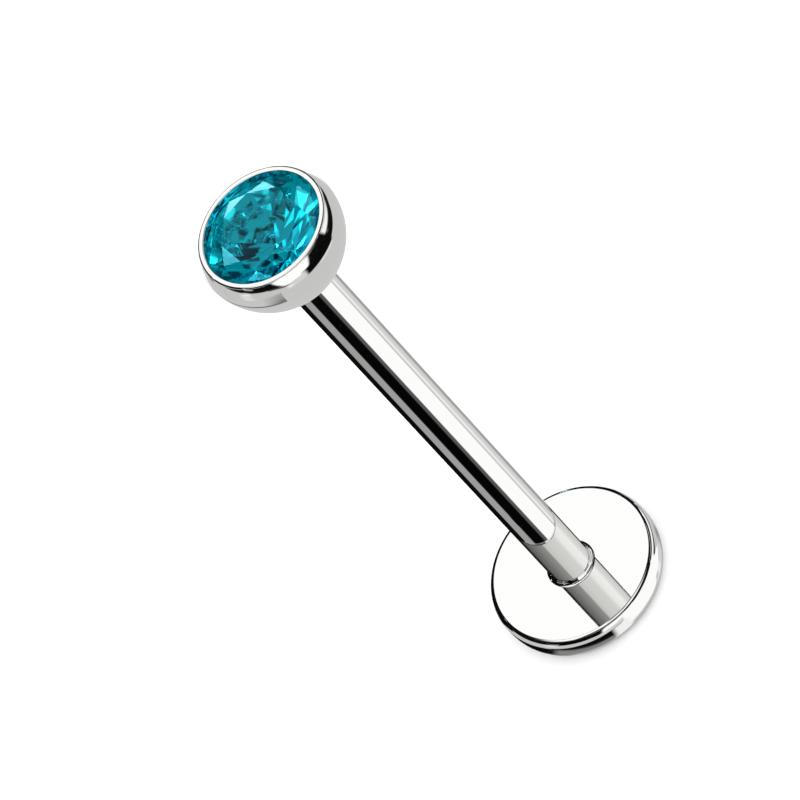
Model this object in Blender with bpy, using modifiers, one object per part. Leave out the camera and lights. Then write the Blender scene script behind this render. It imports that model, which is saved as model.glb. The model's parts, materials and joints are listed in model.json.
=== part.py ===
"""Labret stud: a polished post welded to a round disc, and a bezel-set stone that screws into the post.

Metres, +Z up. The stud stands on the flat back of its disc. The origin is the centre of that back, and
+Z runs along the post to the stone.
"""
import math

import bmesh
import bpy

MM = 0.001

# Post and disc
POST_DIAMETER = 1.2 * MM  # 16 gauge
BAR_LENGTH = 15.875 * MM  # 5/8 inch, from the disc's face to the cup's base
DISC_DIAMETER = 4.84 * MM
DISC_THICKNESS = 0.9 * MM
DISC_TOP_EDGE_WIDTH = 0.17 * MM
DISC_TOP_EDGE_HEIGHT = 0.22 * MM
DISC_LOW_EDGE_WIDTH = 0.28 * MM
DISC_LOW_EDGE_HEIGHT = 0.46 * MM
FOOT_FILLET_RADIUS = 0.11 * MM
POST_END_CHAMFER = 0.05 * MM

# Bore in the post's top end
BORE_WALL = 0.14 * MM
BORE_MOUTH_CHAMFER = 0.03 * MM
BORE_SPARE_DEPTH = 0.3 * MM
BORE_TIP_ANGLE = math.radians(30)

# Threaded stem under the cup
STEM_LENGTH = 1.6 * MM
STEM_NECK_LENGTH = 0.16 * MM
STEM_TIP_CHAMFER = 0.08 * MM
THREAD_CLEARANCE = 0.03 * MM
THREAD_DEPTH = 0.07 * MM
THREAD_PITCH = 0.16 * MM
THREAD_ROOT_WIDTH = 0.13 * MM
THREAD_CREST_WIDTH = 0.04 * MM
THREAD_SINK = 0.03 * MM  # how far the ridge's foot is let into the core

# Stone
STONE_DIAMETER = 3.2 * MM
TABLE_DIAMETER = 2.07 * MM
STAR_TIP_DIAMETER = 2.56 * MM
CROWN_ANGLE = math.radians(34)
GIRDLE_THICKNESS = 0.06 * MM
PAVILION_ANGLE = math.radians(40.5)
LOWER_HALF_TIP_DIAMETER = 0.78 * MM
STONE_TURN = math.radians(29)  # direction of the first table corner, from +X
STONE_SIDES = 8

# Cup
CUP_WALL = 0.245 * MM  # beside the stone
CUP_FLOOR = 0.22 * MM  # under the hollow, down to the base
CUP_WIDEST_DEPTH = 0.42 * MM  # below the lip's top
CUP_BASE_RIM = 0.43 * MM  # flat of the base outside the recess for the post's end
RECESS_DEPTH = 0.04 * MM  # shallow recess in the base that the post's end enters
RECESS_CLEARANCE = 0.02 * MM  # round the post's end
LIP_OVERHANG = 0.05 * MM
LIP_INNER_RADIUS = 0.025 * MM  # rounding of the lip's inner edge
LIP_FLAT_WIDTH = 0.085 * MM  # level ring on top of the lip
LIP_OUTER_RADIUS = 0.055 * MM  # rounding of its outer edge
LIP_CREASE_ANGLE = math.radians(24)  # where the outer rounding ends, above level
TABLE_RISE = 0.13 * MM  # stone's table above the lip's top
SEAT_ANGLE = math.radians(42)
HOLLOW_FLOOR_DIAMETER = 0.1 * MM

# Gaps between pieces that touch
SEAT_GAP = 0.02 * MM  # recess's floor over the post's end
SETTING_GAP = 0.02 * MM  # stone in its cup

# Fineness of the meshes
TURN_STEPS = 48
THREAD_STEPS = 24
ARC_STEPS = 5
EDGE_STEPS = 3
DOME_STEPS = 9
MERGE_DISTANCE = 0.0002 * MM
SHARP_ANGLE = math.radians(28)

# Sizes that follow from the ones above
post_radius = POST_DIAMETER / 2
bore_radius = post_radius - BORE_WALL
thread_radius = bore_radius - THREAD_CLEARANCE
core_radius = thread_radius - THREAD_DEPTH
stone_radius = STONE_DIAMETER / 2
seat_radius = stone_radius + SETTING_GAP
cup_radius = seat_radius + CUP_WALL

cup_base_z = DISC_THICKNESS + BAR_LENGTH
recess_radius = post_radius + RECESS_CLEARANCE
recess_floor_z = cup_base_z + RECESS_DEPTH
post_top_z = recess_floor_z - SEAT_GAP
stem_tip_z = cup_base_z - STEM_LENGTH
bore_floor_z = stem_tip_z - BORE_SPARE_DEPTH
hollow_floor_z = cup_base_z + CUP_FLOOR
girdle_low_z = hollow_floor_z + (seat_radius - HOLLOW_FLOOR_DIAMETER / 2) * math.tan(SEAT_ANGLE)
girdle_top_z = girdle_low_z + GIRDLE_THICKNESS
table_z = girdle_top_z + (stone_radius - TABLE_DIAMETER / 2) * math.tan(CROWN_ANGLE)
lip_top_z = table_z - TABLE_RISE


def elliptic_arc(centre_r, centre_z, half_width, half_height, start, end, steps):
    """Points on an ellipse in the profile's plane, its angles measured up from the outward direction."""
    angles = [start + (end - start) * i / steps for i in range(steps + 1)]
    return [(centre_r + half_width * math.cos(a), centre_z + half_height * math.sin(a)) for a in angles]


def turned(name, profile, steps, collection):
    """Solid turned about Z from a profile of (radius, height) points that runs down its outer side."""
    line = bpy.data.meshes.new(name)
    line.from_pydata([(r, 0, z) for r, z in profile], [(i, i + 1) for i in range(len(profile) - 1)], [])
    guide = bpy.data.objects.new(name + "_profile", line)
    collection.objects.link(guide)
    turn = guide.modifiers.new("turn", "SCREW")
    turn.steps = steps
    turn.render_steps = steps
    turn.use_merge_vertices = True
    turn.merge_threshold = MERGE_DISTANCE
    return baked(name, guide, collection)


def baked(name, source, collection):
    """The mesh that a modified object shows, as an object of its own, with the source removed."""
    bpy.context.view_layer.update()
    depsgraph = bpy.context.evaluated_depsgraph_get()
    mesh = bpy.data.meshes.new_from_object(source.evaluated_get(depsgraph))
    mesh.name = name
    bpy.data.objects.remove(source)
    result = bpy.data.objects.new(name, mesh)
    collection.objects.link(result)
    return result


def post_profile():
    """Bore, post, foot fillet and disc, from the bore's tip over the post's end and down to the back."""
    bore_tip_z = bore_floor_z - bore_radius * math.tan(BORE_TIP_ANGLE)
    bore = [
        (0, bore_tip_z),
        (bore_radius, bore_floor_z),
        (bore_radius, post_top_z - BORE_MOUTH_CHAMFER),
        (bore_radius + BORE_MOUTH_CHAMFER, post_top_z),
    ]
    end = [(post_radius - POST_END_CHAMFER, post_top_z), (post_radius, post_top_z - POST_END_CHAMFER)]
    fillet = elliptic_arc(
        post_radius + FOOT_FILLET_RADIUS, DISC_THICKNESS + FOOT_FILLET_RADIUS,
        FOOT_FILLET_RADIUS, FOOT_FILLET_RADIUS, math.pi, 1.5 * math.pi, ARC_STEPS)
    disc_radius = DISC_DIAMETER / 2
    top_edge = elliptic_arc(
        disc_radius - DISC_TOP_EDGE_WIDTH, DISC_THICKNESS - DISC_TOP_EDGE_HEIGHT,
        DISC_TOP_EDGE_WIDTH, DISC_TOP_EDGE_HEIGHT, math.pi / 2, 0, ARC_STEPS)
    low_edge = elliptic_arc(
        disc_radius - DISC_LOW_EDGE_WIDTH, DISC_LOW_EDGE_HEIGHT,
        DISC_LOW_EDGE_WIDTH, DISC_LOW_EDGE_HEIGHT, 0, -math.pi / 2, ARC_STEPS)
    return bore + end + fillet + top_edge + low_edge + [(0, 0)]


def cup_profile():
    """Hollow, lip, shoulder, dome, base, recess and stem core, from the hollow's floor to the stem's tip."""
    hollow = [(0, hollow_floor_z), (HOLLOW_FLOOR_DIAMETER / 2, hollow_floor_z), (seat_radius, girdle_low_z)]
    lip_radius = stone_radius - LIP_OVERHANG
    under_lip_z = girdle_top_z + SETTING_GAP + LIP_OVERHANG * math.tan(upper_half_angle())
    under_lip = [(seat_radius, under_lip_z), (lip_radius, under_lip_z)]
    inner_edge = elliptic_arc(
        lip_radius + LIP_INNER_RADIUS, lip_top_z - LIP_INNER_RADIUS, LIP_INNER_RADIUS, LIP_INNER_RADIUS,
        math.pi, math.pi / 2, EDGE_STEPS)
    outer_edge = elliptic_arc(
        lip_radius + LIP_INNER_RADIUS + LIP_FLAT_WIDTH, lip_top_z - LIP_OUTER_RADIUS, LIP_OUTER_RADIUS,
        LIP_OUTER_RADIUS, math.pi / 2, LIP_CREASE_ANGLE, EDGE_STEPS)
    crease_r, crease_z = outer_edge[-1]
    widest_z = lip_top_z - CUP_WIDEST_DEPTH
    shoulder_start = math.acos(crease_r / cup_radius)
    shoulder = elliptic_arc(
        0, widest_z, cup_radius, (crease_z - widest_z) / math.sin(shoulder_start),
        shoulder_start, 0, ARC_STEPS)
    base_radius = recess_radius + CUP_BASE_RIM
    dome_end = math.acos(base_radius / cup_radius)
    dome = elliptic_arc(
        0, widest_z, cup_radius, (widest_z - cup_base_z) / math.sin(dome_end), 0, -dome_end, DOME_STEPS)
    recess = [(recess_radius, cup_base_z), (recess_radius, recess_floor_z)]
    stem = [
        (core_radius, recess_floor_z),
        (core_radius, stem_tip_z + STEM_TIP_CHAMFER),
        (core_radius - STEM_TIP_CHAMFER, stem_tip_z),
        (0, stem_tip_z),
    ]
    return hollow + under_lip + inner_edge + outer_edge + shoulder[1:] + dome[1:] + recess + stem


def thread_ridge(collection):
    """Helical ridge round the stem's core: a trapezium swept along a screw line, with its ends closed."""
    foot = core_radius - THREAD_SINK
    low_z = stem_tip_z + STEM_TIP_CHAMFER
    turns = int((STEM_LENGTH - STEM_NECK_LENGTH - STEM_TIP_CHAMFER - THREAD_ROOT_WIDTH) / THREAD_PITCH)
    section = [
        (foot, low_z),
        (foot, low_z + THREAD_ROOT_WIDTH),
        (thread_radius, low_z + (THREAD_ROOT_WIDTH + THREAD_CREST_WIDTH) / 2),
        (thread_radius, low_z + (THREAD_ROOT_WIDTH - THREAD_CREST_WIDTH) / 2),
    ]
    loop = bpy.data.meshes.new("thread_section")
    corners = len(section)
    loop.from_pydata([(r, 0, z) for r, z in section], [(i, (i + 1) % corners) for i in range(corners)], [])
    guide = bpy.data.objects.new("thread_section", loop)
    collection.objects.link(guide)
    sweep = guide.modifiers.new("sweep", "SCREW")
    sweep.screw_offset = THREAD_PITCH
    sweep.iterations = turns
    sweep.steps = THREAD_STEPS
    sweep.render_steps = THREAD_STEPS
    ridge = baked("thread_ridge", guide, collection)
    shape = bmesh.new()
    shape.from_mesh(ridge.data)
    bmesh.ops.remove_doubles(shape, verts=shape.verts, dist=MERGE_DISTANCE)
    bmesh.ops.holes_fill(shape, edges=[e for e in shape.edges if e.is_boundary], sides=corners)
    bmesh.ops.recalc_face_normals(shape, faces=shape.faces)
    shape.to_mesh(ridge.data)
    shape.free()
    ridge.hide_render = True
    ridge.display_type = "WIRE"
    return ridge


def upper_half_angle():
    """Slope of the crown's facets next to the girdle: from a girdle side up to the star's tip."""
    half_step = math.pi / STONE_SIDES
    star_radius = STAR_TIP_DIAMETER / 2
    rise = (stone_radius - star_radius * math.cos(half_step)) * math.tan(CROWN_ANGLE)
    return math.atan2(rise, (stone_radius - star_radius) * math.cos(half_step / 2))


def stone_corners():
    """Corners of a round brilliant, ring by ring from the table down to the culet."""
    half_step = math.pi / STONE_SIDES
    star_radius = STAR_TIP_DIAMETER / 2
    star_z = girdle_top_z + (stone_radius - star_radius * math.cos(half_step)) * math.tan(CROWN_ANGLE)
    culet_z = girdle_low_z - stone_radius * math.tan(PAVILION_ANGLE)
    low_radius = LOWER_HALF_TIP_DIAMETER / 2
    low_z = culet_z + low_radius * math.cos(half_step) * math.tan(PAVILION_ANGLE)
    # ring: radius, height, number of corners, turn from the first table corner
    rings = [
        (TABLE_DIAMETER / 2, table_z, STONE_SIDES, 0),
        (star_radius, star_z, STONE_SIDES, half_step),
        (stone_radius, girdle_top_z, 2 * STONE_SIDES, 0),
        (stone_radius, girdle_low_z, 2 * STONE_SIDES, 0),
        (low_radius, low_z, STONE_SIDES, half_step),
        (0, culet_z, 1, 0),
    ]
    corners = []
    for radius, z, count, turn in rings:
        for i in range(count):
            angle = STONE_TURN + turn + 2 * math.pi * i / count
            corners.append((radius * math.cos(angle), radius * math.sin(angle), z))
    return corners


def material(name, colour, metallic, roughness, transmission=0.0):
    """Principled material with one colour."""
    made = bpy.data.materials.new(name)
    made.use_nodes = True
    shader = made.node_tree.nodes["Principled BSDF"]
    shader.inputs["Base Color"].default_value = (*colour, 1)
    shader.inputs["Metallic"].default_value = metallic
    shader.inputs["Roughness"].default_value = roughness
    shader.inputs["Transmission Weight"].default_value = transmission
    return made


def make_post(collection):
    """The post with its disc."""
    post = turned("labret_post", post_profile(), TURN_STEPS, collection)
    post.data.shade_smooth()
    post.data.set_sharp_from_angle(angle=SHARP_ANGLE)
    post.data.materials.append(material("polished_steel_post", (0.78, 0.78, 0.78), 1.0, 0.06))


def make_cup(collection, cutters):
    """The cup with its stem, and the thread joined on by a Boolean."""
    plain = turned("bezel_cup_plain", cup_profile(), TURN_STEPS, cutters)
    join = plain.modifiers.new("thread", "BOOLEAN")
    join.operation = "UNION"
    join.solver = "EXACT"
    join.object = thread_ridge(cutters)
    cup = baked("bezel_cup", plain, collection)
    cup.data.shade_smooth()
    cup.data.set_sharp_from_angle(angle=SHARP_ANGLE)
    cup.data.materials.clear()
    cup.data.materials.append(material("polished_steel_cup", (0.80, 0.80, 0.80), 1.0, 0.06))


def make_gem(collection):
    """The stone: the hull of its facets' corners, with each flat facet one face."""
    shape = bmesh.new()
    corners = [shape.verts.new(corner) for corner in stone_corners()]
    bmesh.ops.convex_hull(shape, input=corners)
    bmesh.ops.dissolve_limit(
        shape, angle_limit=math.radians(0.5), verts=shape.verts, edges=shape.edges)
    bmesh.ops.recalc_face_normals(shape, faces=shape.faces)
    mesh = bpy.data.meshes.new("gem")
    shape.to_mesh(mesh)
    shape.free()
    gem = bpy.data.objects.new("gem", mesh)
    collection.objects.link(gem)
    mesh.materials.append(material("aqua_stone", (0.0, 0.45, 0.5), 0.0, 0.02, transmission=1.0))


def main():
    for obj in list(bpy.data.objects):
        bpy.data.objects.remove(obj)
    parts = bpy.data.collections.new("labret_stud")
    cutters = bpy.data.collections.new("cutters")
    for collection in (parts, cutters):
        bpy.context.scene.collection.children.link(collection)
    make_post(parts)
    make_cup(parts, cutters)
    make_gem(parts)


main()
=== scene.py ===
"""Labret stud in polished surgical steel, with a faceted aqua stone, dressed around the frame of its solids.

Metres, +Z up. The stud stands on the flat back of its disc, and the post runs up +Z to the stone. The file is
laid out as a Blender add-on, with its sizes and colours as settings in the 3D view's sidebar, and is run as
a script.
"""

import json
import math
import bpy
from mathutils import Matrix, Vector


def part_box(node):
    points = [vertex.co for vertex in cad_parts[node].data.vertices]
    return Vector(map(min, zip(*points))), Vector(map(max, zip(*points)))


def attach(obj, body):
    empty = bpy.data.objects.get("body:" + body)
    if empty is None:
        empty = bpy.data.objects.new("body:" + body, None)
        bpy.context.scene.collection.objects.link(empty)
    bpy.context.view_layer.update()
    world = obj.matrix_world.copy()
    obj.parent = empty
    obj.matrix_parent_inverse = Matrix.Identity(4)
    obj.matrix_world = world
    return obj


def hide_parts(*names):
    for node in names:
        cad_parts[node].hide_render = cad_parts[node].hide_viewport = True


bl_info = {
    "name": "Labret Stud",
    "version": (1, 0, 0),
    "blender": (4, 5, 0),
    "location": "3D View > Sidebar > Labret Stud",
    "description": "Turns the steel of a labret stud, finishes its stone and sets up its studio",
    "category": "Object",
}

import bpy
import numpy as np
from bpy.props import FloatProperty, FloatVectorProperty, IntProperty, PointerProperty
from mathutils import Matrix, Vector

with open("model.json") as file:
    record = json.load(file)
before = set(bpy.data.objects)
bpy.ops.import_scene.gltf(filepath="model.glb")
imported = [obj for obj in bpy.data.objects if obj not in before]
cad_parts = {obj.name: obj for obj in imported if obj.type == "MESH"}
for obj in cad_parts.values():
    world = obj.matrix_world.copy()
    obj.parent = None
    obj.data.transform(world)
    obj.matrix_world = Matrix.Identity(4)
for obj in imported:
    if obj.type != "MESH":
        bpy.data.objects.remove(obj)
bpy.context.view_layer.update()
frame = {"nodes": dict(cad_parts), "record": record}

MM = 0.001
CRISP = 0.006 * MM  # radius of the crisp edges that a polishing wheel leaves
THREAD_CLEARANCE = 0.03 * MM  # between the stem's thread and the bore
RUN_OUT = 1 / 7  # of a turn, over which a thread rises from nothing at each end
PAVILION_ANGLE = math.radians(40.5)  # slope of the stone's underside

# Faces round the turned pieces, and pieces that each rounded run of a profile is cut into
SEGMENTS = 256
FILLET_STEPS = 12
TOP_EDGE_STEPS = 16
LOW_EDGE_STEPS = 20
LIP_INNER_STEPS = 8
LIP_OUTER_STEPS = 12
SHOULDER_STEPS = 32
DOME_STEPS = 40

# Places and sizes read from the frame
mounts = {mount["name"]: Vector(mount["pos_m"]) for mount in frame["record"]["mounts"]}
_, post_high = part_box("labret_post")
cup_low, cup_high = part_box("bezel_cup")
gem_low, gem_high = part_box("gem")
disc_radius = post_high.x
disc_face_z = mounts["disc_front"].z
post_end_z = post_high.z
cup_radius = cup_high.x
cup_base_z = mounts["cup_base"].z
lip_top_z = cup_high.z
stem_tip_z = cup_low.z
stone_radius = max(math.hypot(v.co.x, v.co.y) for v in frame["nodes"]["gem"].data.vertices)
table_z = gem_high.z


def linear(hex_colour):
    """The linear (red, green, blue) of an sRGB colour such as #C8C8C8."""
    shares = [int(hex_colour[i:i + 2], 16) / 255 for i in (1, 3, 5)]
    return tuple(s / 12.92 if s <= 0.04045 else ((s + 0.055) / 1.055) ** 2.4 for s in shares)


def length_setting(name, description, millimetres):
    """A length that can be set in the sidebar."""
    return FloatProperty(
        name=name, description=description, default=millimetres * MM, unit="LENGTH", precision=6)


def angle_setting(name, description, degrees):
    """An angle that can be set in the sidebar."""
    return FloatProperty(
        name=name, description=description, default=math.radians(degrees), subtype="ANGLE")


def colour_setting(name, description, hex_colour):
    """A colour that can be set in the sidebar."""
    return FloatVectorProperty(
        name=name, description=description, subtype="COLOR", default=linear(hex_colour), min=0, max=1)


class PostSizes(bpy.types.PropertyGroup):
    """Sizes of the post and its disc that the frame's boxes don't give"""

    diameter: length_setting("Post Diameter", "16 gauge post", 1.2)
    end_edge: length_setting("End Edge", "Chamfer on the post's top end", 0.05)
    foot_fillet: length_setting("Foot Fillet", "Radius of the weld fillet round the post's foot", 0.11)
    bore_wall: length_setting("Bore Wall", "Wall of the post beside its bore", 0.14)
    bore_depth: length_setting("Bore Depth", "Depth of the bore below the post's end", 1.92)
    bore_mouth: length_setting("Bore Mouth", "Chamfer on the bore's mouth", 0.03)
    drill_angle: angle_setting("Drill Angle", "Slope of the bore's bottom", 30)
    tap_depth: length_setting("Tap Depth", "Depth of the tapped thread into the bore's wall", 0.05)
    tap_turns: IntProperty(name="Tap Turns", description="Turns of the thread in the bore", default=8)
    edge_width: length_setting("Top Edge Width", "Width of the disc's rounded top edge", 0.17)
    edge_height: length_setting("Top Edge Height", "Height of the disc's rounded top edge", 0.22)
    low_width: length_setting("Low Edge Width", "Width of the disc's rounded low edge", 0.28)
    low_height: length_setting("Low Edge Height", "Height of the disc's rounded low edge", 0.46)


class CupSizes(bpy.types.PropertyGroup):
    """Sizes of the bezel cup and its threaded stem that the frame's boxes don't give"""

    lip_inner: length_setting("Lip Inner Edge", "Radius of the lip's inner edge", 0.025)
    lip_flat: length_setting("Lip Flat", "Width of the level ring on top of the lip", 0.085)
    lip_outer: length_setting("Lip Outer Edge", "Radius of the lip's outer edge", 0.055)
    lip_overhang: length_setting("Lip Overhang", "How far the lip reaches in over the stone", 0.05)
    crease_angle: angle_setting(
        "Crease Angle", "Where the lip's outer edge meets the shoulder, above level", 24)
    widest_depth: length_setting("Widest Depth", "Depth of the cup's widest ring below the lip", 0.42)
    base_rim: length_setting("Base Rim", "Width of the flat of the base round the recess", 0.43)
    recess_depth: length_setting("Recess Depth", "Depth of the recess that takes the post's end", 0.04)
    recess_gap: length_setting("Recess Gap", "Room round the post's end in the recess", 0.02)
    thread_depth: length_setting("Thread Depth", "Height of the stem's thread over its core", 0.07)
    thread_pitch: length_setting("Thread Pitch", "Rise of the thread in one turn", 0.16)
    thread_root: length_setting("Thread Root", "Width of the thread's ridge at the core", 0.13)
    thread_crest: length_setting("Thread Crest", "Width of the thread's crest", 0.04)
    thread_turns: IntProperty(name="Thread Turns", description="Turns of the stem's thread", default=7)
    thread_rows: IntProperty(
        name="Thread Rows", description="Rows of the mesh along one turn's rise", default=14)
    tip_chamfer: length_setting("Tip Chamfer", "Chamfer on the stem's tip", 0.08)
    floor_thickness: length_setting("Floor Thickness", "Metal under the point of the stone", 0.22)
    floor_flat: length_setting("Floor Flat", "Radius of the flat under the point of the stone", 0.05)
    seat_angle: angle_setting("Seat Angle", "Slope of the seat under the stone", 42)
    stone_gap: length_setting("Stone Gap", "Room round the stone", 0.02)
    girdle_room: length_setting("Girdle Room", "Height of the wall beside the stone's girdle", 0.1)
    claw_angle: angle_setting("Claw Angle", "Slope of the lip's underside over the stone", 40)


class Finishes(bpy.types.PropertyGroup):
    """Colours and finishes of the steel and the stone"""

    steel: colour_setting("Steel", "Colour of polished surgical steel", "#EEEEEC")
    steel_roughness: FloatProperty(
        name="Steel Roughness", description="Roughness of the mirror polish", default=0.035, min=0, max=1)
    stone: colour_setting("Stone", "Colour of the aqua glass", "#2AC8D2")
    refraction: FloatProperty(
        name="Refraction", description="Refractive index of the stone's lead glass", default=1.58)
    foil: colour_setting("Foil", "Colour of the silvered back of the stone, seen through it", "#DDF8FA")
    foil_roughness: FloatProperty(
        name="Foil Roughness", description="Roughness of the foil behind the stone", default=0.05, min=0,
        max=1)
    crown_sheen: colour_setting("Crown Sheen", "Tint of what the crown's facets mirror", "#62EEFF")
    table_sheen: colour_setting("Table Sheen", "Tint of what the table mirrors", "#085E64")


class StudioSizes(bpy.types.PropertyGroup):
    """The camera's place and the studio's levels"""

    elevation: angle_setting("Elevation", "Camera's height above the level of the stud", 49.57)
    roll: angle_setting("Roll", "Turn of the camera about its line of sight", 42.83)
    aim_x: length_setting("Aim X", "Point of the stud at the picture's middle, along X", -0.370)
    aim_z: length_setting("Aim Z", "Point of the stud at the picture's middle, along Z", 10.566)
    distance: length_setting("Distance", "From the aim to the camera", 125.4)
    lens: FloatProperty(
        name="Lens", description="Focal length in millimetres on a 36 mm sensor", default=225)
    floor_size: FloatProperty(
        name="Floor Size", description="Side of the square floor", default=2.0, unit="LENGTH")
    backdrop: colour_setting("Backdrop", "White of the floor and the backdrop", "#FEFEFE")
    floor_light: FloatProperty(
        name="Floor Light", description="Strength of the even light on the floor", default=1.4)


MIX_A, MIX_B, MIX_RESULT = 6, 7, 2  # places of the colour sockets among a Mix node's sockets


def add_node(tree, kind, inputs=None, stops=None, **settings):
    """Add a node: its settings, its sockets' values or links, and the stops of a colour ramp."""
    made = tree.nodes.new(kind)
    for name, value in settings.items():
        setattr(made, name, value)
    for name, value in (inputs or {}).items():
        if isinstance(value, bpy.types.NodeSocket):
            tree.links.new(value, made.inputs[name])
        else:
            made.inputs[name].default_value = value
    for i, (place, colour) in enumerate(stops or []):
        elements = made.color_ramp.elements
        element = elements[i] if i < len(elements) else elements.new(place)
        element.position = place
        element.color = colour
    return made


def new_material(name):
    """An empty node material and its output node."""
    made = bpy.data.materials.new(name)
    made.use_nodes = True
    made.node_tree.nodes.clear()
    return made, made.node_tree.nodes.new("ShaderNodeOutputMaterial")


def polished_steel(finishes):
    """Surgical steel 316L, turned and then buffed to a mirror.

    The eye gets clean reflections with a very slight waviness, which the buffing wheel leaves over about
    0.7 mm, and a bloom of finer marks that soften the reflection a little here and there.
    """
    wave_size = 0.7 * MM
    wave_height = 0.00035 * MM
    mark_size = 0.05 * MM  # real buffing marks are finer, and drawn this coarse to show
    clean_level, marked_level = 0.35, 0.75  # levels of the marks' noise between which the polish dulls
    clean_share, marked_share = 0.7, 1.6  # of the steel's roughness at those levels
    steel, output = new_material("polished_surgical_steel")
    tree = steel.node_tree
    place = add_node(tree, "ShaderNodeTexCoord").outputs["Object"]
    waves = add_node(tree, "ShaderNodeTexNoise", {"Vector": place, "Scale": 1 / wave_size, "Detail": 1.0})
    marks = add_node(tree, "ShaderNodeTexNoise", {"Vector": place, "Scale": 1 / mark_size, "Detail": 2.0})
    dull = add_node(tree, "ShaderNodeMapRange", {
        "Value": marks.outputs["Fac"], "From Min": clean_level, "From Max": marked_level,
        "To Min": finishes.steel_roughness * clean_share,
        "To Max": finishes.steel_roughness * marked_share})
    bump = add_node(tree, "ShaderNodeBump", {
        "Strength": 1.0, "Distance": wave_height, "Height": waves.outputs["Fac"]})
    shader = add_node(tree, "ShaderNodeBsdfPrincipled", {
        "Base Color": (*finishes.steel, 1), "Metallic": 1.0, "Roughness": dull.outputs["Result"],
        "Normal": bump.outputs["Normal"]})
    tree.links.new(shader.outputs["BSDF"], output.inputs["Surface"])
    return steel


def aqua_stone(finishes):
    """Aqua lead glass, cut and polished, with a silvered foil on its pavilion.

    The crown is clear coloured glass. Below the girdle the foil turns the facets into mirrors, so light
    that enters the table comes back from facet to facet and leaves in flashes.
    """
    table_skin = 0.002 * MM  # depth below the table's height that still counts as the table
    stone, output = new_material("cut_aqua_glass")
    tree = stone.node_tree
    place = add_node(tree, "ShaderNodeTexCoord").outputs["Object"]
    height = add_node(tree, "ShaderNodeSeparateXYZ", {"Vector": place}).outputs["Z"]
    girdle_z = gem_low.z + stone_radius * math.tan(PAVILION_ANGLE)
    back = add_node(tree, "ShaderNodeMath", {0: height, 1: girdle_z}, operation="LESS_THAN").outputs["Value"]
    top = add_node(tree, "ShaderNodeMath", {0: height, 1: table_z - table_skin}, operation="GREATER_THAN")
    tint = add_node(tree, "ShaderNodeMix", {
        "Factor": back, MIX_A: (*finishes.stone, 1), MIX_B: (*finishes.foil, 1)}, data_type="RGBA")
    blur = add_node(tree, "ShaderNodeMath", {0: back, 1: finishes.foil_roughness}, operation="MULTIPLY")
    sheen = add_node(tree, "ShaderNodeMix", {
        "Factor": top.outputs["Value"], MIX_A: (*finishes.crown_sheen, 1),
        MIX_B: (*finishes.table_sheen, 1)}, data_type="RGBA")
    shader = add_node(tree, "ShaderNodeBsdfPrincipled", {
        "Base Color": tint.outputs[MIX_RESULT], "Metallic": back, "Roughness": blur.outputs["Value"],
        "IOR": finishes.refraction, "Transmission Weight": 1.0, "Specular IOR Level": 1.0,
        "Specular Tint": sheen.outputs[MIX_RESULT]})
    tree.links.new(shader.outputs["BSDF"], output.inputs["Surface"])
    return stone


def run_line(start, end):
    """Straight run of a turned profile: two (radius, height) points and the one normal on their left side."""
    (r0, z0), (r1, z1) = start, end
    length = math.hypot(r1 - r0, z1 - z0)
    normal = (-(z1 - z0) / length, (r1 - r0) / length)
    return np.array([(r0, z0, *normal), (r1, z1, *normal)])


def run_arc(centre, half_width, half_height, start, end, steps, side=1):
    """Elliptic run of a turned profile.

    Points are the centre plus (half_width cos a, half_height sin a), with a from start to end. The normal
    is (cos a / half_width, sin a / half_height) made one long, and side -1 turns it towards the centre.
    """
    a = np.linspace(start, end, steps + 1)
    normals = np.stack([np.cos(a) / half_width, np.sin(a) / half_height], 1)
    normals *= side / np.linalg.norm(normals, axis=1)[:, None]
    points = np.stack([centre[0] + half_width * np.cos(a), centre[1] + half_height * np.sin(a)], 1)
    return np.hstack([points, normals])


def rounded_runs(corners, radii, steps=4):
    """Runs along straight lines from corner to corner, with each inner corner rounded by its radius.

    At a corner the line turns from one direction to the next through an angle t, so the arc starts
    radius * tan(t / 2) before the corner and ends as far behind it.
    """
    corners = [np.array(c, float) for c in corners]
    runs = []
    start = corners[0]
    for corner, following, radius in zip(corners[1:], corners[2:], radii):
        along = (corner - start) / np.linalg.norm(corner - start)
        onward = (following - corner) / np.linalg.norm(following - corner)
        turn = math.atan2(along[0] * onward[1] - along[1] * onward[0], along @ onward)
        cut = radius * math.tan(abs(turn) / 2)
        arc_start = corner - cut * along
        normal = np.array([-along[1], along[0]])
        side = -math.copysign(1, turn)
        centre = arc_start - side * radius * normal
        first = math.atan2(side * normal[1], side * normal[0])
        runs.append(run_line(start, arc_start))
        runs.append(run_arc(centre, radius, radius, first, first + turn, steps, side))
        start = corner + cut * onward
    runs.append(run_line(start, corners[-1]))
    return runs


def divided(run, count):
    """A straight run cut into count equal pieces, for a surface that is bent or threaded there."""
    share = np.linspace(0, 1, count + 1)[:, None]
    return run[0] * (1 - share) + run[-1] * share


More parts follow.
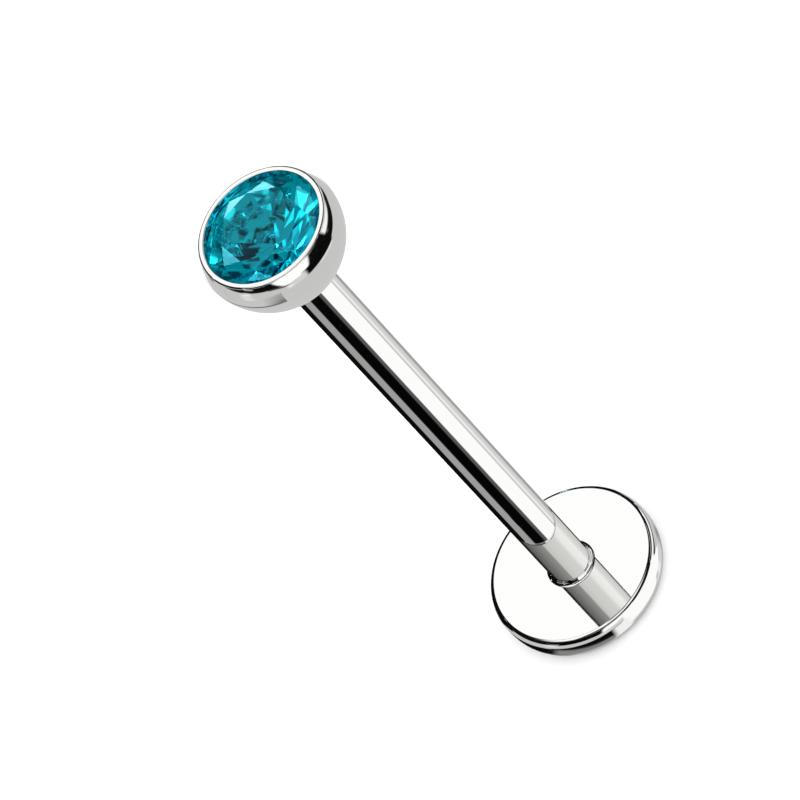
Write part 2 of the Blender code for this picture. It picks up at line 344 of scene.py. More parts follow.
def turned_mesh(name, runs, segments, swell):
    """Closed surface of a profile turned about Z, from its first point on the axis to its last.

    A point of the grid is (r cos t, r sin t, z) with r and z from the profile and t the angle round Z. swell
    gives a radius to add at (t, z, r), as on a thread. Each face's corners take their own run's normals, so
    rounded runs shade smoothly and runs that meet at an angle keep a crisp edge.
    """
    rings = np.vstack([runs[0][:, :2]] + [run[1:, :2] for run in runs[1:]])
    upper_normals = np.vstack([run[:-1, 2:] for run in runs])
    lower_normals = np.vstack([run[1:, 2:] for run in runs])
    angles = np.arange(segments) * 2 * math.pi / segments
    r = np.repeat(rings[1:-1, 0][:, None], segments, axis=1)
    z = np.repeat(rings[1:-1, 1][:, None], segments, axis=1)
    t = np.repeat(angles[None, :], len(r), axis=0)
    r = r + swell(t, z, r)
    grid = np.stack([r * np.cos(t), r * np.sin(t), z], 2).reshape(-1, 3)
    points = np.vstack([[(0, 0, rings[0, 1])], grid, [(0, 0, rings[-1, 1])]])

    count = len(rings) - 2
    j = np.arange(segments)
    following = (j + 1) % segments
    i = np.arange(count - 1)[:, None] * segments + 1
    quads = np.stack([i + j, i + segments + j, i + segments + following, i + following], 2).reshape(-1, 4)
    last_ring = 1 + (count - 1) * segments
    first_fan = np.stack([np.zeros(segments, int), 1 + j, 1 + following], 1)
    last_fan = np.stack([last_ring + j, np.full(segments, len(points) - 1), last_ring + following], 1)
    faces = first_fan.tolist() + quads.tolist() + last_fan.tolist()

    def turned_normals(normals, at):
        """Normals of the profile turned to the angles: a row for each band and a column for each angle."""
        across = np.repeat(normals[:, 0][:, None], len(at), axis=1)
        up = np.repeat(normals[:, 1][:, None], len(at), axis=1)
        return np.stack([across * np.cos(at), across * np.sin(at), up], 2)

    after = angles + 2 * math.pi / segments
    upper_here, upper_after = turned_normals(upper_normals, angles), turned_normals(upper_normals, after)
    lower_here, lower_after = turned_normals(lower_normals, angles), turned_normals(lower_normals, after)
    corners = np.vstack([
        np.stack([upper_here[0], lower_here[0], lower_after[0]], 1).reshape(-1, 3),
        np.stack([upper_here, lower_here, lower_after, upper_after], 2)[1:-1].reshape(-1, 3),
        np.stack([upper_here[-1], lower_here[-1], upper_after[-1]], 1).reshape(-1, 3),
    ])
    mesh = bpy.data.meshes.new(name)
    mesh.from_pydata(points.tolist(), [], faces, shade_flat=False)
    mesh.normals_split_custom_set(bent_normals(corners, points, faces, swell).tolist())
    return mesh


def bent_normals(corners, points, faces, swell):
    """Normals of a turned surface after its radius has swollen.

    With slopes g = d swell / d z and h = d swell / (r d t), a normal (n_r, n_t, n_z) becomes
    (n_r, -h n_r, n_z - g n_r), made one long.
    """
    at = points[np.concatenate([np.array(face) for face in faces])]
    step = 0.001 * MM
    t = np.arctan2(at[:, 1], at[:, 0])
    r = np.maximum(np.hypot(at[:, 0], at[:, 1]), step)
    z = at[:, 2]
    turn = step / r
    slope_z = (swell(t, z + step, r) - swell(t, z - step, r)) / (2 * step)
    slope_t = (swell(t + turn, z, r) - swell(t - turn, z, r)) / (2 * step)
    outward = np.stack([np.cos(t), np.sin(t), np.zeros_like(t)], 1)
    round_z = np.stack([-np.sin(t), np.cos(t), np.zeros_like(t)], 1)
    across = (corners * outward).sum(1)
    bent = corners - (slope_t * across)[:, None] * round_z
    bent[:, 2] -= slope_z * across
    return bent / np.linalg.norm(bent, axis=1)[:, None]


def place_piece(name, mesh, material, body, node):
    """Link a finished mesh as a piece that rides on a body and stands for a node of the frame."""
    mesh.materials.append(material)
    piece = bpy.data.objects.new(name, mesh)
    bpy.context.scene.collection.objects.link(piece)
    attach(piece, body)
    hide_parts(node)


def steel_material(scene):
    """The steel of both turned pieces, made once."""
    return bpy.data.materials.get("polished_surgical_steel") or polished_steel(scene.labret_finishes)


def post_radius():
    """Radius of the post."""
    return bpy.context.scene.labret_post.diameter / 2


def stem_radius():
    """Radius over the stem's thread: the bore's, less the thread's clearance."""
    return post_radius() - bpy.context.scene.labret_post.bore_wall - THREAD_CLEARANCE


def helix_share(t, z, low_z, turns):
    """Height share of a right-handed helical ridge, 0 to 1, at the angle t and height z.

    The ridge's middle is at low_z + pitch u after u turns. The pass nearest to (t, z) has
    u = v + round((z - low_z) / pitch - v) with v = t / (2 pi), and the flanks fall from the crest's edge to
    the root's. At each end the ridge runs out to nothing over RUN_OUT of a turn.
    """
    sizes = bpy.context.scene.labret_cup
    v = np.mod(t / (2 * math.pi), 1)
    u = v + np.round((z - low_z) / sizes.thread_pitch - v)
    off = np.abs(z - low_z - sizes.thread_pitch * u)
    flank = np.clip((sizes.thread_root / 2 - off) / ((sizes.thread_root - sizes.thread_crest) / 2), 0, 1)
    return flank * np.clip(u / RUN_OUT, 0, 1) * np.clip((turns - u) / RUN_OUT, 0, 1)


def stem_thread(sizes):
    """Radius that the thread adds to the stem's core."""
    low_z = stem_tip_z + sizes.tip_chamfer + sizes.thread_root / 2

    def swell(t, z, r):
        return sizes.thread_depth * helix_share(t, z, low_z, sizes.thread_turns)
    return swell


def bore_thread(sizes):
    """Radius that the tapped thread adds to the bore, and not to the post's outside."""
    wall_depths = 1.2  # thread depths out from the bore within which a point is on its wall
    reach = post_radius() - sizes.bore_wall + wall_depths * sizes.tap_depth
    rise = sizes.tap_turns * bpy.context.scene.labret_cup.thread_pitch

    def swell(t, z, r):
        share = helix_share(t, z, post_end_z - rise, sizes.tap_turns)
        return np.where(r < reach, sizes.tap_depth * share, 0)
    return swell


def threaded_run(run, length):
    """A straight run with its last length cut finely enough for a thread."""
    sizes = bpy.context.scene.labret_cup
    whole = np.linalg.norm(run[-1, :2] - run[0, :2])
    split = run[0] + (run[-1] - run[0]) * (1 - length / whole)
    count = math.ceil(length / sizes.thread_pitch * sizes.thread_rows)
    return np.vstack([run[:1], divided(np.stack([split, run[-1]]), count)])


def post_runs(sizes):
    """Profile of the bore, the post's end, the post, its foot and the disc, to the centre of the back."""
    radius = post_radius()
    bore = radius - sizes.bore_wall
    bore_floor = post_end_z - sizes.bore_depth
    tip = bore_floor - bore * math.tan(sizes.drill_angle)
    mouth = sizes.bore_mouth
    foot = sizes.foot_fillet
    top = rounded_runs([
        (0, tip), (bore, bore_floor), (bore, post_end_z - mouth), (bore + mouth, post_end_z),
        (radius - sizes.end_edge, post_end_z), (radius, post_end_z - sizes.end_edge),
        (radius, disc_face_z + foot)], [CRISP] * 5)
    wall_line = 1  # the bore's wall comes after the slope of its tip
    spare_turns = 0.5  # cut finely below the thread's end
    rise = (sizes.tap_turns + spare_turns) * bpy.context.scene.labret_cup.thread_pitch
    top[2 * wall_line] = threaded_run(top[2 * wall_line], rise - mouth)
    fillet = run_arc((radius + foot, disc_face_z + foot), foot, foot, math.pi, 1.5 * math.pi,
                     FILLET_STEPS, side=-1)
    face = run_line((radius + foot, disc_face_z), (disc_radius - sizes.edge_width, disc_face_z))
    top_edge = run_arc(
        (disc_radius - sizes.edge_width, disc_face_z - sizes.edge_height), sizes.edge_width,
        sizes.edge_height, math.pi / 2, 0, TOP_EDGE_STEPS)
    side = run_line((disc_radius, disc_face_z - sizes.edge_height), (disc_radius, sizes.low_height))
    low_edge = run_arc(
        (disc_radius - sizes.low_width, sizes.low_height), sizes.low_width, sizes.low_height, 0,
        -math.pi / 2, LOW_EDGE_STEPS)
    back = run_line((disc_radius - sizes.low_width, 0), (0, 0))
    return top + [fillet, face, top_edge, side, low_edge, back]


def cup_runs(sizes):
    """Profile of the hollow, lip, shoulder, dome, base, recess and stem, to the middle of the stem's tip."""
    seat = stone_radius + sizes.stone_gap
    floor_z = cup_base_z + sizes.floor_thickness
    girdle_z = floor_z + (seat - sizes.floor_flat) * math.tan(sizes.seat_angle)
    inner = stone_radius - sizes.lip_overhang
    under_z = girdle_z + sizes.girdle_room + sizes.lip_overhang * math.tan(sizes.claw_angle)
    inner_centre = (inner + sizes.lip_inner, lip_top_z - sizes.lip_inner)
    outer_centre = (inner_centre[0] + sizes.lip_flat, lip_top_z - sizes.lip_outer)
    hollow = rounded_runs([
        (0, floor_z), (sizes.floor_flat, floor_z), (seat, girdle_z), (seat, under_z), (inner, under_z),
        (inner, inner_centre[1])], [CRISP] * 4)
    inner_edge = run_arc(
        inner_centre, sizes.lip_inner, sizes.lip_inner, math.pi, math.pi / 2, LIP_INNER_STEPS)
    flat = run_line((inner_centre[0], lip_top_z), (outer_centre[0], lip_top_z))
    outer_edge = run_arc(
        outer_centre, sizes.lip_outer, sizes.lip_outer, math.pi / 2, sizes.crease_angle, LIP_OUTER_STEPS)
    crease_r, crease_z = outer_edge[-1, :2]
    widest_z = lip_top_z - sizes.widest_depth
    shoulder_start = math.acos(crease_r / cup_radius)
    shoulder = run_arc(
        (0, widest_z), cup_radius, (crease_z - widest_z) / math.sin(shoulder_start), shoulder_start, 0,
        SHOULDER_STEPS)
    recess = post_radius() + sizes.recess_gap
    base = recess + sizes.base_rim
    dome_end = math.acos(base / cup_radius)
    dome = run_arc(
        (0, widest_z), cup_radius, (widest_z - cup_base_z) / math.sin(dome_end), 0, -dome_end, DOME_STEPS)
    core = stem_radius() - sizes.thread_depth
    under = rounded_runs([
        tuple(dome[-1, :2]), (recess, cup_base_z), (recess, cup_base_z + sizes.recess_depth),
        (core, cup_base_z + sizes.recess_depth), (core, stem_tip_z + sizes.tip_chamfer),
        (core - sizes.tip_chamfer, stem_tip_z), (0, stem_tip_z)], [CRISP] * 5)
    stem_line = 3  # the stem comes after the base's flat and the recess's wall and floor
    spare_turns = 1  # cut finely above the thread's end
    rise = (sizes.thread_turns + spare_turns) * sizes.thread_pitch
    under[2 * stem_line] = threaded_run(under[2 * stem_line], rise)
    return hollow + [inner_edge, flat, outer_edge, shoulder, dome] + under


class LABRET_OT_turn_post(bpy.types.Operator):
    """Turn the post with its disc, foot fillet and bore"""

    bl_idname = "labret.turn_post"
    bl_label = "Turn Post and Disc"

    def execute(self, context):
        sizes = context.scene.labret_post
        mesh = turned_mesh("post_and_disc", post_runs(sizes), SEGMENTS, bore_thread(sizes))
        place_piece("post_and_disc", mesh, steel_material(context.scene), "post",
                    "labret_post")
        return {"FINISHED"}


class LABRET_OT_turn_cup(bpy.types.Operator):
    """Turn the bezel cup with its lip, hollow and threaded stem"""

    bl_idname = "labret.turn_cup"
    bl_label = "Turn Bezel Cup"

    def execute(self, context):
        sizes = context.scene.labret_cup
        mesh = turned_mesh("cup_and_stem", cup_runs(sizes), SEGMENTS, stem_thread(sizes))
        place_piece("cup_and_stem", mesh, steel_material(context.scene), "top",
                    "bezel_cup")
        return {"FINISHED"}


class LABRET_OT_finish_stone(bpy.types.Operator):
    """Give the frame's cut stone its glass and foil"""

    bl_idname = "labret.finish_stone"
    bl_label = "Finish Stone"

    def execute(self, context):
        gem = frame["nodes"]["gem"]
        glass = aqua_stone(context.scene.labret_finishes)
        for i in range(max(1, len(gem.material_slots))):
            if not gem.material_slots:
                gem.data.materials.append(glass)
            gem.material_slots[i].material = glass
        return {"FINISHED"}


# The studio, as polished steel shows it. Angles are in degrees: azimuth 0 is towards -Y, 90 towards +X and
# 180 behind the stud, and elevation is above level. A grey is a hex level.
ROOM = "#0A"  # the dark room behind the rest
STEEL_GAIN = 1.16  # strength of the greys, because steel gives back a little less than it gets
# Panels, painted one over the other. Each row: azimuth of the middle, half of the width, low edge, high edge,
# softness of the edges, grey, and lean, the degrees of azimuth that the panel shifts for each of elevation.
PANELS = (
    (0, 200, -95, 2, 4, "#C4", 0),  # pale table top
    (0, 200, 72, 100, 6, "#FF", 0),  # ceiling
    (-125, 50, 59, 88, 3, "#FF", 0),  # its lower part on the left
    (180, 38, -48, -19, 4, "#FF", 0),  # white behind and below
    (-9, 11, -30, -2, 4, "#D2", 0),  # bounce in front
    (-23, 4, -28, -2, 3, "#E6", 0),
    (-82, 7, -30, 2, 4, "#D8", 0),  # bounce on the left
    (-80, 4, -4, 6, 3, "#F4", 0),
    (-110, 1.5, -36, -6, 1.5, "#B8", 0),  # fold of the paper
    (45, 17, -47, -36, 4, "#E6", 0),  # bounce under the flag
    (-95, 45, 0, 5, 2, "#C8", 0),  # far edge of the table on the left
    (-77, 6, 15, 18, 1.5, "#B0", 0),  # strip light over it
    (-36.5, 5, -9, 7, 4, "#40", -1.44),  # slanted arm beside the softbox
    (33, 29, -32, 28, 3, "#0A", 0),  # black flag on the right
    (31, 14, 29, 38, 2, "#90", 0),  # its grey back
    (82, 22, -25, 2, 3, "#0C", 1.76),  # its slanted arm
    (95, 30, -3, 5.5, 2, "#10", 0),
    (92, 34, 8.5, 33, 3, "#F6", 0),  # fill on the right
    (-152, 26, -8, 42, 3, "#08", 0),  # black flags behind
    (162, 20, -14, 33, 3, "#08", 0),
    (-16.4, 12.3, -2, 42, 3, "#FF", -0.58),  # softbox in front, wider upwards
    (-4, 14, 3, 42, 3, "#FF", 0.35),
    (-12, 10, -2, 42, 3, "#FF", 0),
)
# Belts right round the studio: elevation of the middle, half of the height and softness, then the greys of
# the belt at their azimuths
UPPER_BELT = (52.5, 1.5, 0.5)  # seen by the disc and the post's foot
UPPER_GREYS = (
    (-180, "#02"), (-150, "#03"), (-145, "#08"), (-139, "#1E"), (-131, "#3D"), (-123, "#5B"),
    (-115, "#6B"), (-99, "#72"), (-75, "#84"), (-59, "#90"), (-45, "#98"), (-39, "#D2"), (-11, "#DC"),
    (22, "#E0"), (42, "#FA"), (76, "#FF"), (93, "#E8"), (117, "#DD"), (139, "#CE"), (145, "#20"),
    (180, "#02"))
LOWER_BELT = (-90, 44, 0.6)  # seen by the post, from 46 degrees below level down
LOWER_GREYS = (
    (-180, "#0C"), (-109, "#0A"), (-106, "#9B"), (-70, "#9C"), (-66, "#06"), (-20, "#05"), (-16, "#50"),
    (-3, "#5A"), (0, "#FC"), (69, "#FD"), (73, "#C6"), (79, "#C6"), (83, "#EC"), (92, "#EC"), (97, "#D0"),
    (114, "#D0"), (134, "#90"), (144, "#98"), (150, "#C0"), (180, "#C0"))
FLOOR_BELT = (-90, 26.5, 8.5)  # the floor, into which the lower belt fades
FLOOR_GREY = "#B4"
# Round spots. Each row: azimuth, elevation, radius and softness in degrees, colour as hex and strength.
WINDOW = (180, 49.5, 6.5, 1.0, "#FFFFFF", 1.0)  # white window behind
# Small lamps that light up single facets of the crown. Each row: azimuth, elevation and strength.
LAMPS = (
    (167.6, 17.3, 8.0), (-178.2, 12.6, 7.5), (175.3, -20.0, 2.2), (-146.1, 40.2, 7.5), (120.9, 25.9, 3.6),
    (128.5, 6.9, 3.4), (73.6, 35.8, 3.8), (64.9, 55.2, 3.0), (-155.8, -13.8, 3.5), (-86.9, 30.6, 7.5),
    (-52.3, 42.5, 5.0))
LAMP_RADIUS = 1.4
LAMP_SOFTNESS = 0.3
LAMP_COLOUR = "#B8F4FF"  # daylight, a little blue

# What the stone gathers from above: round lights and flags over an even sea-green. Rows as in WINDOW.
STONE_ROOM = "#52BAC2"
STONE_LIGHTS = (
    (-112, 28, 22, 4, "#F0FFFF", 1.5),  # low light on the left
    (-52, 48, 14, 2, "#F0FFFF", 2.0),  # window on the left
    (122, 55, 13, 2, "#F0FFFF", 1.6),  # window on the right
    (-12, 75, 7, 1, "#F0FFFF", 2.4),  # overhead light
    (52, 70, 11, 3, "#003048", 0.5),  # flags
    (32, 38, 17, 4, "#004860", 0.6),
    (-118, 66, 9, 2, "#004058", 0.6),
    (100, 45, 8, 2, "#105868", 1.0),
    (-60, 74, 2.5, 0.5, "#FFFFFF", 14.0),  # bare bulbs, which make the stone flash
    (75, 57, 3.0, 0.5, "#FFFFFF", 12.0),
    (-150, 44, 3.0, 0.5, "#FFFFFF", 12.0),
)
CROSSINGS = 24  # times that a ray may be bent or thrown back in the stone

# Cards round the stud that only polished surfaces see. Each row: name, grey, azimuths of the start and the
# end, degrees over which the start and the end fade, height from which the profile is measured, and the
# profile: points of radius and height in millimetres, with the share of the card that is seen there.
CARD_STEP = 1.5  # degrees of azimuth from point to point
COLLAR_Z = cup_base_z - 0.1 * MM
CARDS = (
    ("collar_card", "#C4", (-180, 180), (0, 0), COLLAR_Z, ((0.75, 0, 1), (3.6, 0, 1))),
    ("dark_arc_on_the_collar", "#70", (-140, -33), (0, 0), COLLAR_Z, ((2.35, 0.01, 1), (2.5, 0.01, 1))),
    ("grey_panel_on_the_collar", "#70", (-58, -33), (20, 0), COLLAR_Z,
     ((2.5, 0.01, 1), (3.0, 0.01, 0.6), (5.5, 0.01, 0.3))),
    ("black_card_behind", "#0A", (-180, -105), (2, 2), 0,
     ((2.74, 0.02, 1), (6, 0.02, 1), (6, 4.4, 1), (6, 5.5, 0))),
    # The next two rows are painted shade: the floor's contact shadow beside the disc, as the disc's rim
    # mirrors it, since the floor itself is hidden from reflections.
    ("painted_contact_shadow_on_the_left", "#0A", (-63, -4), (2, 2), 0, ((2.6, 0.02, 1), (2.93, 0.02, 1))),
    ("painted_grey_shadow_on_the_left", "#80", (-60, -8), (6, 6), 0,
     ((2.45, 0.03, 1), (2.7, 0.03, 1), (2.77, 0.03, 0))),
    ("pale_card_in_front", "#F0", (-12, 6), (4, 4), 0, ((2.45, 0.04, 1), (2.93, 0.04, 1))),
    ("black_card_in_front", "#05", (-63, -19), (2, 2), 0, ((6, 0.6, 1), (6, 4.4, 1), (6, 5.5, 0))),
    ("black_card_on_the_lamp", "#05", (-64, -46), (2, 2), 0, ((3, 1.1, 1), (3, 1.6, 1))),
    ("white_card_on_the_right", "#FC", (0, 66), (2, 2), 0,
     ((2.74, 0.02, 1), (6, 0.02, 1), (6, 3, 1), (6, 3.5, 0))),
    ("black_card_over_the_edge", "#0A", (4, 96), (3, 3), 0, ((2.74, 1.2, 1), (2.49, 1.2, 1))),
)


def grey(level):
    """Linear grey, as a colour with its alpha, of a level such as #C8."""
    return (*linear("#" + level[1:] * 3), 1)


def band_share(tree, angle, middle, half_width, soft):
    """Share of a band of angles: 1 inside, 0 outside, and a smooth step as wide as twice the softness.

    The distance from the middle is |wrap(angle - middle)|, where wrap brings an angle within half a turn.
    """
    away = add_node(tree, "ShaderNodeMath", {0: angle, 1: middle}, operation="SUBTRACT").outputs["Value"]
    away = add_node(tree, "ShaderNodeMath", {0: away, 1: 180.0, 2: -180.0}, operation="WRAP").outputs["Value"]
    away = add_node(tree, "ShaderNodeMath", {0: away}, operation="ABSOLUTE").outputs["Value"]
    step = add_node(tree, "ShaderNodeMapRange", {
        "Value": away, "From Min": half_width + soft, "From Max": half_width - soft},
        interpolation_type="SMOOTHSTEP")
    return step.outputs["Result"]


def spot_layers(tree, direction, spots):
    """Layers of (share, colour) for round spots, one for each of their rows.

    The angle between a direction and a spot's middle is the arc cosine of their dot product.
    """
    layers = []
    for azimuth, elevation, radius, soft, shade, strength in spots:
        turn, rise = math.radians(azimuth), math.radians(elevation)
        middle = (math.cos(rise) * math.sin(turn), -math.cos(rise) * math.cos(turn), math.sin(rise))
        near = add_node(tree, "ShaderNodeVectorMath", {0: direction, 1: middle}, operation="DOT_PRODUCT")
        angle = near.outputs["Value"]
        for operation in ("ARCCOSINE", "DEGREES"):
            angle = add_node(tree, "ShaderNodeMath", {0: angle}, operation=operation).outputs["Value"]
        light = [strength * level for level in linear(shade)]
        layers.append((band_share(tree, angle, 0, radius, soft), (*light, 1)))
    return layers


def painted(tree, base, layers):
    """Colour of a base with layers of (share, colour) painted over it one by one."""
    colour = base
    for share, over in layers:
        mix = add_node(tree, "ShaderNodeMix", {"Factor": share, MIX_A: colour, MIX_B: over}, data_type="RGBA")
        colour = mix.outputs[MIX_RESULT]
    return colour


def studio_angles(tree, direction):
    """Azimuth atan2(x, -y) and elevation asin(z) of a direction, in degrees."""
    axes = add_node(tree, "ShaderNodeSeparateXYZ", {"Vector": direction}).outputs
    front = add_node(tree, "ShaderNodeMath", {0: axes["Y"], 1: -1.0}, operation="MULTIPLY")
    turn = add_node(tree, "ShaderNodeMath", {0: axes["X"], 1: front.outputs["Value"]}, operation="ARCTAN2")
    rise = add_node(tree, "ShaderNodeMath", {0: axes["Z"]}, operation="ARCSINE")
    degrees = [add_node(tree, "ShaderNodeMath", {0: angle.outputs["Value"]}, operation="DEGREES")
               for angle in (turn, rise)]
    return [angle.outputs["Value"] for angle in degrees]


def studio_pattern(tree):
    """Colour of the studio in each direction: the dark room, panels, belts, floor, window and lamps."""
    direction = add_node(tree, "ShaderNodeTexCoord").outputs["Generated"]
    azimuth, elevation = studio_angles(tree, direction)
    layers = []
    for middle, half_width, low, high, soft, level, lean in PANELS:
        leaning = add_node(tree, "ShaderNodeMath", {0: elevation, 1: lean, 2: middle},
                           operation="MULTIPLY_ADD").outputs["Value"]
        across = band_share(tree, azimuth, leaning, half_width, soft)
        upwards = band_share(tree, elevation, (low + high) / 2, (high - low) / 2, soft)
        share = add_node(tree, "ShaderNodeMath", {0: across, 1: upwards}, operation="MULTIPLY")
        layers.append((share.outputs["Value"], grey(level)))
    round_share = add_node(tree, "ShaderNodeMapRange", {
        "Value": azimuth, "From Min": -180.0, "From Max": 180.0}).outputs["Result"]
    for belt, greys in ((UPPER_BELT, UPPER_GREYS), (LOWER_BELT, LOWER_GREYS)):
        ramp = add_node(tree, "ShaderNodeValToRGB", {"Fac": round_share}, stops=[
            (place / 360 + 0.5, grey(level)) for place, level in greys])
        layers.append((band_share(tree, elevation, *belt), ramp.outputs["Color"]))
    layers.append((band_share(tree, elevation, *FLOOR_BELT), grey(FLOOR_GREY)))
    lamps = [(*place, LAMP_RADIUS, LAMP_SOFTNESS, LAMP_COLOUR, strength) for *place, strength in LAMPS]
    return painted(tree, grey(ROOM), layers + spot_layers(tree, direction, [WINDOW, *lamps]))


def stone_pattern(tree):
    """Colour of the stone's surroundings in each direction: the even room with its round lights and flags."""
    direction = add_node(tree, "ShaderNodeTexCoord").outputs["Generated"]
    return painted(tree, (*linear(STONE_ROOM), 1), spot_layers(tree, direction, STONE_LIGHTS))


def card_paint(name, level):
    """Even glow of a card, on the side that its faces look to, as strong as the mesh's share says."""
    paint, output = new_material(name)
    tree = paint.node_tree
    glow = add_node(tree, "ShaderNodeEmission", {"Color": grey(level), "Strength": STEEL_GAIN})
    clear = add_node(tree, "ShaderNodeBsdfTransparent")
    under = add_node(tree, "ShaderNodeNewGeometry").outputs["Backfacing"]
    share = add_node(tree, "ShaderNodeAttribute", attribute_name="share").outputs["Fac"]
    faced = add_node(tree, "ShaderNodeMath", {0: 1.0, 1: under}, operation="SUBTRACT").outputs["Value"]
    seen = add_node(tree, "ShaderNodeMath", {0: share, 1: faced}, operation="MULTIPLY").outputs["Value"]
    shader = add_node(tree, "ShaderNodeMixShader", {0: seen, 1: clear.outputs[0], 2: glow.outputs[0]})
    tree.links.new(shader.outputs[0], output.inputs["Surface"])
    return paint


def make_card(scene, name, level, azimuths, fades, base_z, profile):
    """Card that only polished surfaces see, on its inner and upper side.

    Its profile of (radius, height, share) points is turned from the first azimuth to the last, as a grid of
    points (r sin a, -r cos a, z) with a the azimuth. The share, how much of the card is seen, also falls to
    nothing over the fades at the start and the end. A profile that runs inwards is seen from below.
    """
    start, end = azimuths
    steps = round((end - start) / CARD_STEP)
    turn = np.linspace(start, end, steps + 1)
    ends = np.ones_like(turn)
    for distance, fade in zip((turn - start, end - turn), fades):
        if fade:
            ends = ends * np.clip(distance / fade, 0, 1)
    a = np.radians(turn)
    rows = [np.stack([r * MM * np.sin(a), -r * MM * np.cos(a), np.full_like(a, base_z + z * MM)], 1)
            for r, z, _ in profile]
    i = np.arange(steps)
    faces = [np.stack([k + i, k + steps + 1 + i, k + steps + 2 + i, k + 1 + i], 1)
             for k in range(0, (len(profile) - 1) * (steps + 1), steps + 1)]
    mesh = bpy.data.meshes.new(name)
    mesh.from_pydata(np.vstack(rows).tolist(), [], np.vstack(faces).tolist())
    shares = np.concatenate([share * ends for _, _, share in profile])
    mesh.attributes.new("share", "FLOAT", "POINT").data.foreach_set("value", shares.astype(np.float32))
    mesh.materials.append(card_paint(name, level))
    card = bpy.data.objects.new(name, mesh)
    scene.collection.objects.link(card)
    for ray in ("camera", "diffuse", "transmission", "shadow", "volume_scatter"):
        setattr(card, "visible_" + ray, False)


def make_studio(scene, studio):
    """World with a studio for polished surfaces, lights for the stone and an even light for the floor."""
    world = bpy.data.worlds.new("studio")
    scene.world = world
    world.use_nodes = True
    tree = world.node_tree
    tree.nodes.clear()
    path = add_node(tree, "ShaderNodeLightPath").outputs
    shown = None
    for ray, colour, strength in (
            (None, (1, 1, 1, 1), studio.floor_light),
            ("Is Glossy Ray", studio_pattern(tree), STEEL_GAIN),
            ("Is Transmission Ray", stone_pattern(tree), 1.0),
            ("Is Camera Ray", (*studio.backdrop, 1), 1.0)):
        light = add_node(tree, "ShaderNodeBackground", {"Color": colour, "Strength": strength}).outputs[0]
        if ray:
            light = add_node(tree, "ShaderNodeMixShader", {0: path[ray], 1: shown, 2: light}).outputs[0]
        shown = light
    add_node(tree, "ShaderNodeOutputWorld", {"Surface": shown})
    for limit in ("max_bounces", "glossy_bounces", "transmission_bounces"):
        setattr(scene.cycles, limit, CROSSINGS)


def make_floor(scene, studio):
    """White seamless paper that the stud stands on: matt, with a hardly visible tooth."""
    tooth_size = 0.4 * MM
    tooth_height = 0.01 * MM
    half = studio.floor_size / 2
    mesh = bpy.data.meshes.new("studio_floor")
    mesh.from_pydata([(-half, -half, 0), (half, -half, 0), (half, half, 0), (-half, half, 0)], [],
                     [(0, 1, 2, 3)])
    paper, output = new_material("seamless_paper")
    tree = paper.node_tree
    place = add_node(tree, "ShaderNodeTexCoord").outputs["Object"]
    tooth = add_node(tree, "ShaderNodeTexNoise", {"Vector": place, "Scale": 1 / tooth_size})
    bump = add_node(tree, "ShaderNodeBump", {
        "Strength": 0.2, "Distance": tooth_height, "Height": tooth.outputs["Fac"]})
    shader = add_node(tree, "ShaderNodeBsdfPrincipled", {
        "Base Color": (*studio.backdrop, 1), "Roughness": 1.0, "Specular IOR Level": 0.0,
        "Normal": bump.outputs["Normal"]})
    tree.links.new(shader.outputs["BSDF"], output.inputs["Surface"])
    mesh.materials.append(paper)
    floor = bpy.data.objects.new("studio_floor", mesh)
    scene.collection.objects.link(floor)
    floor.visible_glossy = False
    floor.visible_transmission = False


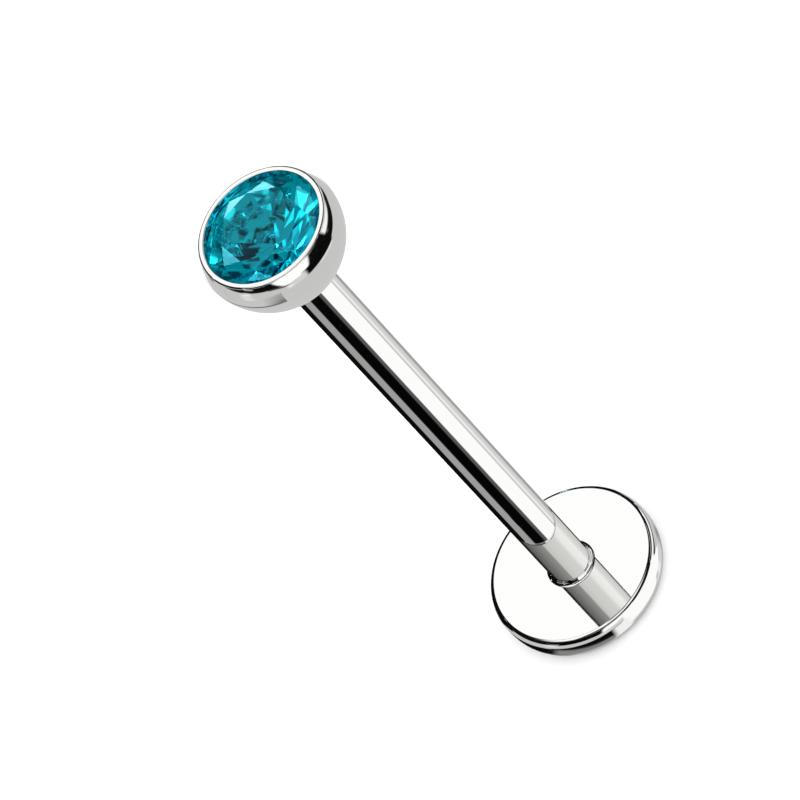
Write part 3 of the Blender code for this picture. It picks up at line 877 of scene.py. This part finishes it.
def make_camera(scene, studio):
    """Camera above the -Y side, rolled so that the post runs from the picture's lower right to upper left."""
    up_cos, up_sin = math.cos(studio.elevation), math.sin(studio.elevation)
    back = Vector((0, -up_cos, up_sin))
    level = Vector((1, 0, 0))
    rise = back.cross(level)
    roll_cos, roll_sin = math.cos(studio.roll), math.sin(studio.roll)
    right = roll_cos * level - roll_sin * rise
    up = roll_sin * level + roll_cos * rise
    camera = bpy.data.cameras.new("camera")
    camera.lens = studio.lens
    camera.sensor_width = 36
    camera.clip_start = 0.01
    camera.clip_end = 10
    eye = bpy.data.objects.new("camera", camera)
    scene.collection.objects.link(eye)
    turn = Matrix((right, up, back)).transposed()
    eye.matrix_world = Matrix.Translation(
        Vector((studio.aim_x, 0, studio.aim_z)) + studio.distance * back) @ turn.to_4x4()
    scene.camera = eye


class LABRET_OT_set_stage(bpy.types.Operator):
    """Set up the floor, the studio light and the camera"""

    bl_idname = "labret.set_stage"
    bl_label = "Set Stage"

    def execute(self, context):
        scene = context.scene
        make_studio(scene, scene.labret_studio)
        make_floor(scene, scene.labret_studio)
        for card in CARDS:
            make_card(scene, *card)
        make_camera(scene, scene.labret_studio)
        scene.view_settings.view_transform = "Standard"
        return {"FINISHED"}


class VIEW3D_PT_labret_stud(bpy.types.Panel):
    """Sizes, colours and steps of the labret stud"""

    bl_label = "Labret Stud"
    bl_space_type = "VIEW_3D"
    bl_region_type = "UI"
    bl_category = "Labret Stud"

    def draw(self, context):
        for group in GROUPS:
            box = self.layout.box()
            settings = getattr(context.scene, group)
            for name in settings.bl_rna.properties.keys():
                if name not in ("rna_type", "name"):
                    box.prop(settings, name)
        for step in STEPS:
            self.layout.operator(step.bl_idname)


GROUPS = {
    "labret_post": PostSizes,
    "labret_cup": CupSizes,
    "labret_finishes": Finishes,
    "labret_studio": StudioSizes,
}
STEPS = (LABRET_OT_set_stage, LABRET_OT_turn_post, LABRET_OT_turn_cup, LABRET_OT_finish_stone)


def register():
    for group in GROUPS.values():
        bpy.utils.register_class(group)
    for name, group in GROUPS.items():
        setattr(bpy.types.Scene, name, PointerProperty(type=group))
    for kind in (*STEPS, VIEW3D_PT_labret_stud):
        bpy.utils.register_class(kind)


def unregister():
    for kind in (VIEW3D_PT_labret_stud, *reversed(STEPS)):
        bpy.utils.unregister_class(kind)
    for name, group in GROUPS.items():
        delattr(bpy.types.Scene, name)
        bpy.utils.unregister_class(group)


def main():
    register()
    for step in STEPS:
        area, verb = step.bl_idname.split(".")
        getattr(getattr(bpy.ops, area), verb)()


if __name__ == "__main__":
    main()
